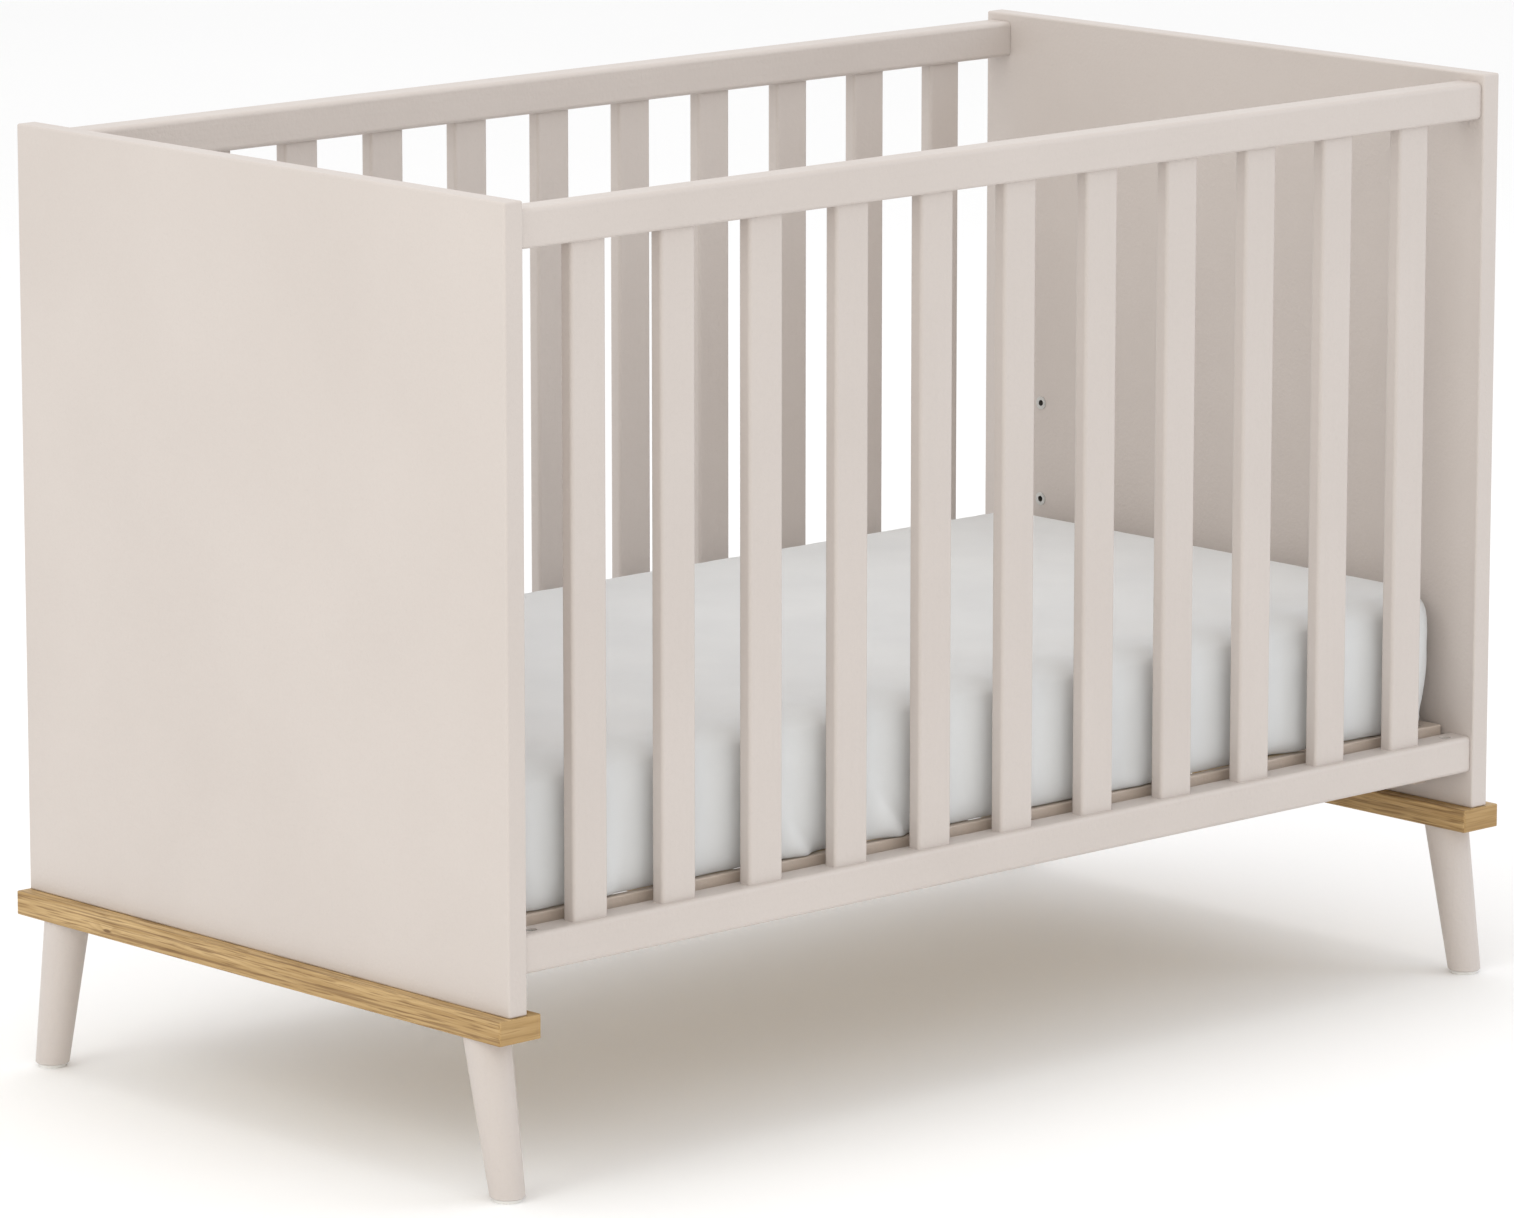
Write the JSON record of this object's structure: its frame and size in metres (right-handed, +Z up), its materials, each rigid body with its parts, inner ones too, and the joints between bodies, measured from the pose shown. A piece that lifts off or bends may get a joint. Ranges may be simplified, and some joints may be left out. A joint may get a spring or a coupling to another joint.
{
  "type": "baby crib",
  "caption": "Free-standing baby crib: solid end panels on oak boards and splayed legs, fixed barred sides, a height-adjustable slatted base and a mattress in a fitted sheet.",
  "frame": {"origin": "on the floor under the middle of the crib", "axes": "+X along the crib from the left end panel to the right one, -Y towards the front side, +Z up"},
  "size_m": [1.274, 0.678, 0.876],
  "materials": {
    "painted_wood": "satin lacquer, warm grey-white, smooth",
    "oak": "clear-oiled oak, straight grain along the board",
    "base_wood": "pale sanded softwood slats, unlacquered",
    "dowel_wood": "beech, sanded",
    "zinc_fittings": "zinc plated, satin",
    "glide_plastic": "matte nylon",
    "mattress_cover": "white quilted ticking over foam",
    "sheet_cotton": "white cotton, plain weave, soft wrinkles"
  },
  "bodies": {
    "root": {"left_end_panel": "painted_wood", "right_end_panel": "painted_wood", "left_plinth_board": "oak", "right_plinth_board": "oak", "leg_front_left": "painted_wood", "leg_back_left": "painted_wood", "leg_front_right": "painted_wood", "leg_back_right": "painted_wood", "foot_glides": "glide_plastic", "front_top_rail": "painted_wood", "front_bottom_rail": "painted_wood", "back_top_rail": "painted_wood", "back_bottom_rail": "painted_wood", "front_bar_01": "painted_wood", "front_bar_02": "painted_wood", "front_bar_03": "painted_wood", "front_bar_04": "painted_wood", "front_bar_05": "painted_wood", "front_bar_06": "painted_wood", "front_bar_07": "painted_wood", "front_bar_08": "painted_wood", "front_bar_09": "painted_wood", "front_bar_10": "painted_wood", "front_bar_11": "painted_wood", "back_bar_01": "painted_wood", "back_bar_02": "painted_wood", "back_bar_03": "painted_wood", "back_bar_04": "painted_wood", "back_bar_05": "painted_wood", "back_bar_06": "painted_wood", "back_bar_07": "painted_wood", "back_bar_08": "painted_wood", "back_bar_09": "painted_wood", "back_bar_10": "painted_wood", "back_bar_11": "painted_wood", "plinth_screws": "zinc_fittings", "leg_studs": "zinc_fittings", "leg_sleeves": "zinc_fittings", "rail_cam_housings": "zinc_fittings", "rail_cam_bolts": "zinc_fittings", "rail_dowels": "dowel_wood", "height_inserts": "zinc_fittings", "base_bolts": "zinc_fittings"},
    "base": {"base_front_side": "painted_wood", "base_back_side": "painted_wood", "base_left_end": "painted_wood", "base_right_end": "painted_wood", "base_slat_1": "base_wood", "base_slat_2": "base_wood", "base_slat_3": "base_wood", "base_slat_4": "base_wood", "base_slat_5": "base_wood", "base_slat_6": "base_wood", "base_slat_7": "base_wood", "base_slat_8": "base_wood", "slat_screws": "zinc_fittings", "base_corner_screws": "zinc_fittings"},
    "mattress": {"mattress_core": "mattress_cover", "fitted_sheet": "sheet_cotton"}
  },
  "joints": [
    {"name": "base_height", "type": "slide", "parent": "root", "child": "base", "axis": [0, 0, 1], "range_m": [0, 0.294]},
    {"name": "mattress_lift", "type": "slide", "parent": "base", "child": "mattress", "axis": [0, 0, 1], "range_m": [0, 0.66]}
  ]
}
